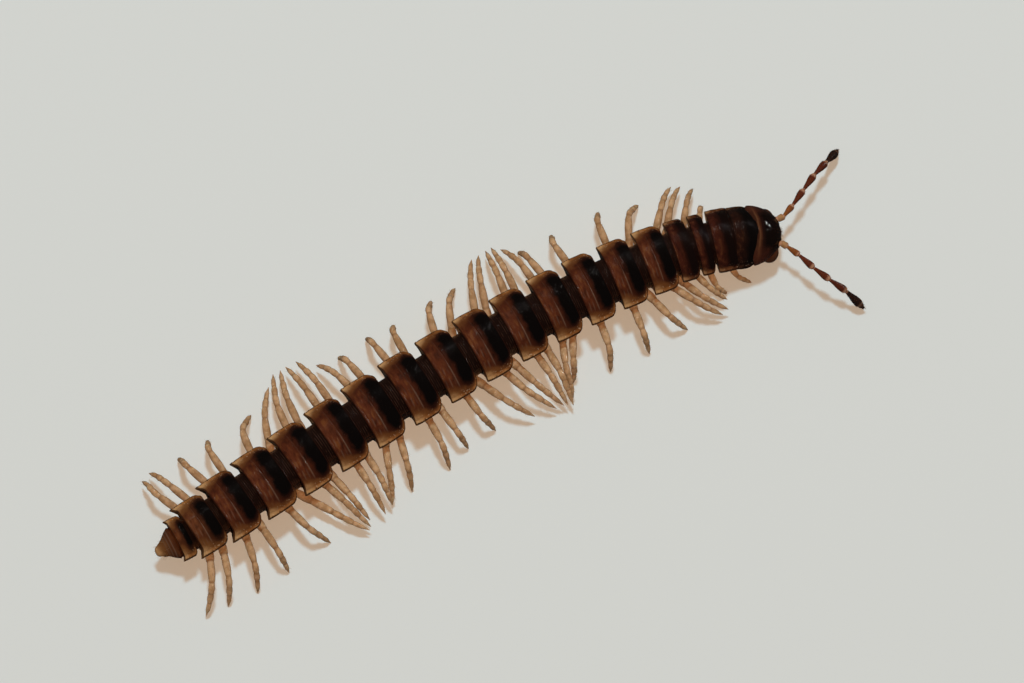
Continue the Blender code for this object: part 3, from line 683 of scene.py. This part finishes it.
def leg_skins(number, pair, side, hip_x):
    """Skin of one leg, whose radius swells in the middle of each joint, with its bristles."""
    share = np.linspace(0, 1, LEG_ROWS)
    joint = np.clip(np.searchsorted(LEG_JOINTS, share, side="right") - 1, 0, len(LEG_JOINTS) - 2)
    edges = np.array(LEG_JOINTS)
    within = (share - edges[joint]) / (edges[joint + 1] - edges[joint])
    swell = 0.82 + 0.22 * np.sin(np.pi * within ** 1.35).clip(0) ** 0.6
    swell[joint == 0] = 1.0
    swell[share > edges[-2]] = 1.0
    radius = read(LEG_RADIUS, share) * read(LEG_SCALE, pair) ** 0.5 * swell
    path = smooth_path(leg_corners(pair, side, hip_x), share)
    points, *ways = tube(path, radius, LEG_COLUMNS)
    points[..., 2] = points[..., 2].clip(0)
    station = front_station(number)
    length = read(PITCH, number + 1) - read(NECK_SHOWN, number + 1)
    skin = skin_of(place(points, station, length), along=share[:, None],
                   knuckle=(1 - np.sin(np.pi * within))[:, None])
    at = draw.integers(18, LEG_ROWS - 6, BRISTLES_PER_LEG)
    hairs = hairs_along(path, radius, ways, at, 0.75, (0.06, 0.13), BRISTLE, along=0.9, knuckle=0.0)
    return [skin, *set_on([hairs], station, length)]


def leg_cuticle():
    """Clear tan shell: pinkish at the root, a thin brown line at each joint, darker specks, and flesh inside
    that lets light go a little way in."""
    made, tree, shader = new_material("leg_cuticle")
    clouds = noise(tree, 0.20)
    fine = noise(tree, 0.045)
    base = ramp(tree, fact(tree, "along"), (
        (0.0, (0.42, 0.235, 0.135)), (0.30, (0.52, 0.315, 0.18)), (0.55, (0.55, 0.34, 0.19)),
        (0.85, (0.55, 0.34, 0.19)), (0.955, (0.54, 0.36, 0.22)), (1.0, (0.50, 0.34, 0.23))))
    base = mix(tree, spread_of(tree, clouds, 0.38, 0.62, 0.0, 0.8), base, (0.35, 0.190, 0.088))
    base = mix(tree, spread_of(tree, noise(tree, 0.09), 0.60, 0.72, 0.0, 0.6), base, (0.70, 0.52, 0.34))
    knuckle = spread_of(tree, fact(tree, "knuckle"), 0.66, 1.0, 0.0, 0.6)
    base = mix(tree, knuckle, base, (0.22, 0.10, 0.04))
    base = mix(tree, spread_of(tree, fine, 0.66, 0.76, 0.0, 0.55), base, (0.12, 0.055, 0.025))
    feed(tree, shader, {"Base Color": base, "Roughness": spread_of(tree, clouds, 0.3, 0.7, 0.12, 0.22),
                        "Normal": bumps(tree, fine, 0.5, 0.02), "Subsurface Weight": LEG_FLESH,
                        "Subsurface Radius": LEG_FLESH_COLOUR, "Subsurface Scale": FLESH_DEPTH * MM})
    return made


LEG_CUTICLE = leg_cuticle()
draw = np.random.default_rng(11)
for number in range(2, LAST_LEGGED_RING + 1):
    skins = []
    for pair, hip_x in legs_of_ring(number):
        for side in (1, -1):
            skins += leg_skins(number, pair, side, hip_x)
    make_piece(f"legs_{number:02d}", skins, LEG_CUTICLE, "amber_shell", f"ring_{number:02d}")


# The head
# A smooth domed capsule of dark brown cuticle, with a cheek on each side, a lip in front and a chin plate below.
# It has no eyes. Each feeler stands in a round pit, and short hairs cover the face.
HEAD_LENGTH = 0.71
HEAD_HALF_WIDTH = 0.93
HEAD_BOW_WIDTH = 0.98
HEAD_HALF_HEIGHT = 0.66
HEAD_HEIGHT = 1.06
HEAD_SQUARENESS = 1.7
HEAD_DOMING = 0.8
HEAD_TUCK = 0.10
HEAD_TUCK_SCALE = 0.90
SEAM_DEPTH = 0.012
PIT_DEPTH = 0.05
PIT_WIDTH = 0.10
FEELER_OUT = 0.38
FEELER_HEIGHT = 1.13
FEELER_START = 0.67
CHEEK_RADII = (0.30, 0.34, 0.34)
HEAD_LUMPS = (((0.27, 0.50, 0.80), CHEEK_RADII, 0.7, 0.2), ((0.27, -0.50, 0.80), CHEEK_RADII, 0.7, 0.2),
              ((0.43, 0.0, 0.62), (0.23, 0.40, 0.30), 0.8, 0.6), ((0.28, 0.0, 0.48), (0.21, 0.30, 0.14), 1.0, 0.6))
FACE_BRISTLES = 130
FACE_MIDDLE = (0.2, 0.0, HEAD_HEIGHT)


def head_dome():
    """Dome: an ellipse across at each place along, whose size falls as a superellipse to nothing in front.
    Pits, a seam along the middle and low swellings are added along the normal."""
    share = np.sin(np.linspace(0, np.pi / 2, 96)) * 0.9995
    turn = 2 * np.pi * np.arange(128) / 128
    scale = ((1 - share ** HEAD_SQUARENESS) ** (1 / HEAD_SQUARENESS))[:, None]
    y = HEAD_HALF_WIDTH * scale * np.cos(turn)
    x = share[:, None] * HEAD_LENGTH - COLLUM_BOW * (1 - share[:, None]) * (y / HEAD_BOW_WIDTH) ** 2
    z = HEAD_HEIGHT + HEAD_HALF_HEIGHT * scale ** HEAD_DOMING * np.sin(turn)
    tucked = np.stack([x[0] - HEAD_TUCK, y[0] * HEAD_TUCK_SCALE,
                       HEAD_HEIGHT + (z[0] - HEAD_HEIGHT) * HEAD_TUCK_SCALE], axis=-1)
    points = np.stack([x, y, z], axis=-1)
    upper = ease(z, HEAD_HEIGHT, HEAD_HEIGHT + 0.2)
    relief = -SEAM_DEPTH * bump_at(y, 0.016) * upper * ease(-x, -0.42, -0.25)
    relief = relief + 0.010 * bump_at(np.abs(y) - 0.30, 0.20) * upper
    for side in (1, -1):
        away = np.sqrt((x - FEELER_START + 0.05) ** 2 + (y - side * FEELER_OUT) ** 2 + (z - FEELER_HEIGHT) ** 2)
        relief = relief - PIT_DEPTH * bump_at(away, PIT_WIDTH) + 0.025 * bump_at(away - 0.15, 0.03)
    points = np.concatenate([tucked[None], points + normals(points) * relief[..., None]])
    return skin_of(points, along=np.concatenate([[0.0], share])[:, None],
                   over=np.abs(points[..., 1]) / HEAD_HALF_WIDTH,
                   below=ease(HEAD_HEIGHT - points[..., 2], -0.10, 0.35))


def swelling(centre, radii, below, tone):
    """Ellipsoid with its poles along Y: sines and cosines of two angles times the three radii. How far it
    counts as underside and its tone along the head are the same all over."""
    turn = np.linspace(0, np.pi, 34)[1:-1, None]
    angle = 2 * np.pi * np.arange(40) / 40
    points = np.stack([centre[0] + radii[0] * np.sin(turn) * np.cos(angle),
                       centre[1] + radii[1] * np.cos(turn) + 0 * angle,
                       centre[2] + radii[2] * np.sin(turn) * np.sin(angle)], axis=-1)
    corners, faces = closed_skin(points)
    return corners, faces, evenly(len(corners), along=tone, over=0.7, below=below)


def head_cuticle():
    """Glossy shell of the head: a brown band at its rear edge, near black on the crown, maroon on the cheeks
    and the lip."""
    made, tree, shader = new_material("head_cuticle")
    clouds = sums(tree, "SUBTRACT", noise(tree, 0.30), 0.5)
    fine = noise(tree, 0.06)
    along = sums(tree, "MULTIPLY_ADD", clouds, 0.12, fact(tree, "along"))
    back = ramp(tree, along, (
        (0.0, (0.040, 0.013, 0.007)), (0.06, (0.100, 0.040, 0.018)), (0.12, (0.052, 0.017, 0.008)),
        (0.19, (0.016, 0.005, 0.0035)), (0.34, (0.0045, 0.0022, 0.0018)), (1.0, (0.0060, 0.0026, 0.0020))))
    sides = spread_of(tree, sums(tree, "MULTIPLY_ADD", clouds, 0.4, fact(tree, "over")), 0.50, 0.92, 0.0, 0.8)
    colour = mix(tree, sides, back, (0.062, 0.016, 0.009))
    under = mix(tree, noise(tree, 0.22), (0.13, 0.048, 0.020), (0.05, 0.014, 0.007))
    colour = mix(tree, fact(tree, "below"), colour, under)
    feed(tree, shader, {"Base Color": colour, "Roughness": spread_of(tree, fine, 0.3, 0.7, 0.06, 0.11),
                        "Normal": bumps(tree, fine, 0.2, 0.01), "Specular IOR Level": 0.36})
    return made


HEAD_CUTICLE = head_cuticle()
head_skins = [head_dome()] + [swelling(*lump) for lump in HEAD_LUMPS]
dome = head_skins[0][0][:-2]
face = np.flatnonzero((dome[:, 0] > 0.42) & (dome[:, 2] > 0.50))
roots = dome[draw.choice(face, FACE_BRISTLES, replace=False)]
lengths = draw.uniform(0.04, 0.11, FACE_BRISTLES)
outward = roots - FACE_MIDDLE
head_skins.append(bristles(roots - outward * 0.02, outward + (0.3, 0, -0.1), lengths, BRISTLE,
                           along=0.05, over=0.9, below=0.6))
make_piece("head_capsule", set_on(head_skins, COLLUM_FRONT, -HEAD_LENGTH), HEAD_CUTICLE, "head_shell", "head")


# The feelers
# Seven club-shaped joints of maroon cuticle, each thin at its foot and thick at its end, with a pale soft ring
# between. The first is pale amber, and the last two are nearly black and thick with short hairs.
FEELER_LENGTHS = (0.19, 0.44, 0.59, 0.59, 0.63, 0.73, 0.17)
FEELER_RADII = ((0.100, 0.105), (0.056, 0.100), (0.052, 0.107), (0.053, 0.110), (0.055, 0.115), (0.062, 0.130),
                (0.095, 0.045))
LEFT_FEELER_TURN = (20, 44, 48, 48, 44, 47, 55)
RIGHT_FEELER_TURN = (-40, -44, -50, -44, -38, -42, -43)
FEELER_DIP = (0, 1, 1, 5, 22, 41, 40)
FEELER_JOINT_ROWS = 22
FEELER_COLUMNS = 20
FEELER_BRISTLES = (4, 20, 30, 36, 56, 110, 30)
FEELER_BRISTLE = 0.004
FEELER_FLESH = 0.15
FEELER_FLESH_COLOUR = (1.0, 0.4, 0.25)


def soften(values, count):
    """Running mean over an odd count of values, with the ends kept."""
    padded = np.pad(values, count // 2, mode="reflect", reflect_type="odd")
    return np.convolve(padded, np.ones(count) / count, "valid")


def feeler_skins(side):
    """Skin of one feeler. In each joint the radius eases from that of its foot to that of its end, then
    rounds off to the next, and the path is the joint's own line, eased into the next."""
    turns = np.radians(LEFT_FEELER_TURN if side > 0 else RIGHT_FEELER_TURN)
    root = np.array((FEELER_START, side * FEELER_OUT, FEELER_HEIGHT))
    knots = [root - (0.12, 0, 0), root]
    for length, turn, dip in zip(FEELER_LENGTHS, turns, np.radians(FEELER_DIP)):
        way = np.array((math.cos(turn) * math.cos(dip), math.sin(turn) * math.cos(dip), -math.sin(dip)))
        knots.append(knots[-1] + way * length)
    knots = np.array(knots)
    marks = np.concatenate([[-0.5], np.arange(len(FEELER_LENGTHS) + 1)])
    run = np.linspace(-0.4, len(FEELER_LENGTHS), (len(FEELER_LENGTHS) + 1) * FEELER_JOINT_ROWS)
    path = np.stack([soften(np.interp(run, marks, knots[:, axis]), 9) for axis in range(3)], axis=1)
    joint = np.clip(np.floor(run).astype(int), 0, len(FEELER_LENGTHS) - 1)
    within = np.clip(run - joint, 0, 1)
    near, far = np.array(FEELER_RADII)[joint].T
    radius = near + (far - near) * ease(within, 0.05, 0.80)
    radius = radius * (1 - 0.30 * ease(within, 0.86, 1.0)) * (1 - 0.18 * (1 - ease(within, 0.0, 0.10)))
    radius[-3:] *= (0.9, 0.7, 0.35)
    points, *ways = tube(path, radius, FEELER_COLUMNS)
    skin = skin_of(points, joint=run[:, None].clip(0) / len(FEELER_LENGTHS), within=within[:, None])
    rows = np.concatenate([draw.choice(np.flatnonzero((joint == k) & (within > 0.15) & (run > 0)), count)
                           for k, count in enumerate(FEELER_BRISTLES)])
    hairs = hairs_along(path, radius, ways, rows, 0.6, (0.04, 0.09), FEELER_BRISTLE, joint=0.3, within=0.5)
    return set_on([skin, hairs], COLLUM_FRONT, -HEAD_LENGTH)


def feeler_cuticle():
    """Maroon shell, orange brown at the root and near black at the tip, with a pale soft ring at each joint."""
    made, tree, shader = new_material("feeler_cuticle")
    clouds = noise(tree, 0.10)
    base = ramp(tree, fact(tree, "joint"), (
        (0.0, (0.42, 0.23, 0.11)), (0.125, (0.40, 0.20, 0.085)), (0.16, (0.26, 0.085, 0.022)),
        (0.27, (0.22, 0.065, 0.018)), (0.30, (0.125, 0.026, 0.010)), (0.57, (0.105, 0.022, 0.009)),
        (0.70, (0.085, 0.017, 0.008)), (0.725, (0.022, 0.009, 0.006)), (1.0, (0.014, 0.007, 0.006))))
    dark = mix(tree, 0.5, base, (0.012, 0.004, 0.003))
    base = mix(tree, spread_of(tree, clouds, 0.38, 0.68, 0.0, 0.55), base, dark)
    foot = spread_of(tree, fact(tree, "within"), 0.10, 0.01)
    end = spread_of(tree, fact(tree, "within"), 0.80, 0.93)
    pale = sums(tree, "MULTIPLY", sums(tree, "MAXIMUM", foot, end),
                spread_of(tree, fact(tree, "joint"), 0.92, 0.76, 0.0, 0.85))
    base = mix(tree, pale, base, (0.46, 0.235, 0.145))
    feed(tree, shader, {"Base Color": base, "Roughness": spread_of(tree, clouds, 0.3, 0.7, 0.18, 0.34),
                        "Normal": bumps(tree, clouds, 0.3, 0.02), "Subsurface Weight": FEELER_FLESH,
                        "Subsurface Radius": FEELER_FLESH_COLOUR, "Subsurface Scale": FLESH_DEPTH * MM})
    return made


FEELER_CUTICLE = feeler_cuticle()
make_piece("feeler_left", feeler_skins(1), FEELER_CUTICLE, "feeler_shell", "antenna_left")
make_piece("feeler_right", feeler_skins(-1), FEELER_CUTICLE, "feeler_shell", "antenna_right")


# The telson
# The last ring is a short cone of amber-tipped cuticle over two rounded valves that close the gut. Its tip is
# cut off blunt and carries a few long hairs.
TELSON = 20
GAP = 0.06
TELSON_SPAN = 0.5
TELSON_CONE = ((0.0, 1.0, 0.0), (0.22, 0.84, 0.01), (0.48, 0.56, 0.04), (0.70, 0.40, 0.08), (0.88, 0.31, 0.11),
               (0.97, 0.24, 0.125), (1.0, 0.14, 0.13))
TELSON_ROWS = 60
TELSON_COLUMNS = 72
TELSON_NECK = 0.95
VALVE_RADII = (0.22, 0.13, 0.24)
TELSON_HAIRS = 34


def telson_cone():
    """Cone: an ellipse across at each place along, whose size and drop are read from the cone's keys."""
    share = np.linspace(0, 1, TELSON_ROWS)
    at, scale, drop = zip(*TELSON_CONE)
    size = soften(np.interp(share, at, scale), 7)[:, None]
    sink = soften(np.interp(share, at, drop), 7)[:, None]
    length = front_station(TELSON) - GAP
    wing, _, centre, height = ring_sizes(TELSON)
    turn = 2 * np.pi * np.arange(TELSON_COLUMNS) / TELSON_COLUMNS
    y = wing * size * np.sin(turn)
    z = centre - sink + height * size * np.cos(turn)
    x = np.broadcast_to(-share[:, None] * length, y.shape)
    points = np.stack([x, y, z], axis=-1)
    neck = points[:1] * (1, TELSON_NECK, TELSON_NECK) + (0, 0, centre * (1 - TELSON_NECK))
    points = np.concatenate([neck + (0.12, 0, 0), neck + (0.01, 0, 0), points])
    run = np.concatenate([[-0.5, -0.02], share])[:, None]
    stripes = bump_at(run - 0.16, 0.03) + 0.8 * bump_at(run - 0.31, 0.03) + 0.5 * bump_at(run - 0.45, 0.04)
    return skin_of(points, along=0.68 + 0.24 * run.clip(0), over=0.5, edge=0.48 - 0.40 * run.clip(0) ** 1.2,
                   below=ease(centre - points[..., 2], -0.05, 0.25), inside=0.0, groove=stripes)


telson_skins = [telson_cone()]
for side in (1, -1):
    corners, faces, facts = swelling((-0.26, side * 0.11, 0.80), VALVE_RADII, 0.8, 0.6)
    facts.update(evenly(len(corners), inside=0.0, edge=0.2, groove=0.0))
    telson_skins.append((corners, faces, facts))
cone = telson_skins[0][0][:-2].reshape(-1, TELSON_COLUMNS, 3)
rows = draw.integers(20, TELSON_ROWS, TELSON_HAIRS)
columns = draw.integers(0, TELSON_COLUMNS, TELSON_HAIRS)
roots = cone[rows, columns]
outward = (roots - (0, 0, 0.92)) * (0, 1, 1)
telson_skins.append(bristles(roots - outward * 0.03, outward * 2 - (0.8, 0, 0),
                             draw.uniform(0.08, 0.18, TELSON_HAIRS), BRISTLE,
                             along=0.8, over=0.9, edge=0.1, below=0.0, inside=0.0, groove=0.0))
telson_skins = set_on(telson_skins, front_station(TELSON), TELSON_SPAN)
make_piece("telson_cone", telson_skins, AMBER_CUTICLE, "amber_shell", "telson")


# The stage
# A plain pale floor under a cool light from the upper side of the picture and a warm one without shadows, with
# three small lamps for the glints on the shell, and a camera that looks down from 75 degrees with the head to the
# upper right.
FLOOR_SIZE = 1.2
FLOOR_COLOUR = (0.70, 0.735, 0.755, 1.0)
AIM = (0.391, 0.277, 1.0)
PICTURE_TURN = 25.2
CAMERA_HEIGHT = 75.0
CAMERA_AWAY = 250.0
LENS = 293.0
SENSOR_WIDTH = 36.0
KEY_PLACE = (0, 125, 400)
KEY_SIZE = 42
KEY_POWER = 0.83
KEY_COLOUR = (0.52, 0.85, 1.0)
FILL_PLACE = (0, 40, 420)
FILL_SIZE = 200
FILL_POWER = 1.06
FILL_COLOUR = (1.0, 0.69, 0.46)
GLINTS = (("glint", (10, 300, 300), 10, 0.035), ("left_pane", (275, 235, 210), 12, 0.09),
          ("right_pane", (330, 190, 175), 12, 0.09))
GLINT_COLOUR = (1.0, 0.98, 0.95)
SKY_COLOUR = (1.0, 0.92, 0.84, 1.0)
SKY_STRENGTH = 0.12
SKY_MIRRORED = 0.03

floor_mesh = bpy.data.meshes.new("floor")
edge = FLOOR_SIZE / 2
floor_mesh.from_pydata([(-edge, -edge, 0), (edge, -edge, 0), (edge, edge, 0), (-edge, edge, 0)], [], [(0, 1, 2, 3)])
paper, tree, shader = new_material("floor_paper")
feed(tree, shader, {"Base Color": FLOOR_COLOUR, "Roughness": 0.85, "Specular IOR Level": 0.1})
floor_mesh.materials.append(paper)
floor = new_object("floor", floor_mesh)
floor.visible_glossy = False

turn = math.radians(PICTURE_TURN)
picture_right = np.array((math.cos(turn), -math.sin(turn), 0.0))
picture_up = np.array((math.sin(turn), math.cos(turn), 0.0))
upward = np.array((0.0, 0.0, 1.0))
aim = np.array(AIM)


def look_at(thing, spot):
    """Set a lamp or a camera on a spot, turned to the aim, with the picture's upper side up."""
    back = unit(spot - aim)
    right = unit(np.cross(picture_up, back))
    turned = np.eye(4)
    turned[:3] = np.stack([right, np.cross(back, right), back, spot * MM], axis=1)
    thing.matrix_world = Matrix(turned.tolist())


def lamp(name, spot, size, power, colour, mirrored=False):
    """Square lamp at a spot given along the picture's right, up and height in millimetres. It either lights
    the scene or is only mirrored in the shell."""
    light = bpy.data.lights.new(name, "AREA")
    light.size = size * MM
    light.energy = power
    light.color = colour
    thing = new_object(name, light)
    right, up, height = spot
    look_at(thing, aim + picture_right * right + picture_up * up + upward * height)
    thing.visible_glossy = mirrored
    thing.visible_diffuse = not mirrored
    return light


lamp("key", KEY_PLACE, KEY_SIZE, KEY_POWER, KEY_COLOUR)
lamp("fill", FILL_PLACE, FILL_SIZE, FILL_POWER, FILL_COLOUR).use_shadow = False
for name, spot, size, power in GLINTS:
    lamp(name, spot, size, power, GLINT_COLOUR, mirrored=True)
world = bpy.data.worlds.new("studio")
bpy.context.scene.world = world
world.use_nodes = True
sky = world.node_tree.nodes["Background"]
sky.inputs["Color"].default_value = SKY_COLOUR
mirrored = node(world.node_tree, "ShaderNodeLightPath").outputs["Is Glossy Ray"]
strength = node(world.node_tree, "ShaderNodeMix", {0: mirrored, 2: SKY_STRENGTH, 3: SKY_MIRRORED})
world.node_tree.links.new(strength.outputs[0], sky.inputs["Strength"])

camera = bpy.data.cameras.new("camera")
camera.lens = LENS
camera.sensor_width = SENSOR_WIDTH
camera.clip_start = 0.01
camera.clip_end = 10.0
viewer = new_object("camera", camera)
tilt = math.radians(CAMERA_HEIGHT)
look_at(viewer, aim + CAMERA_AWAY * (upward * math.sin(tilt) - picture_up * math.cos(tilt)))
bpy.context.scene.camera = viewer
bpy.context.scene.view_settings.view_transform = "Standard"
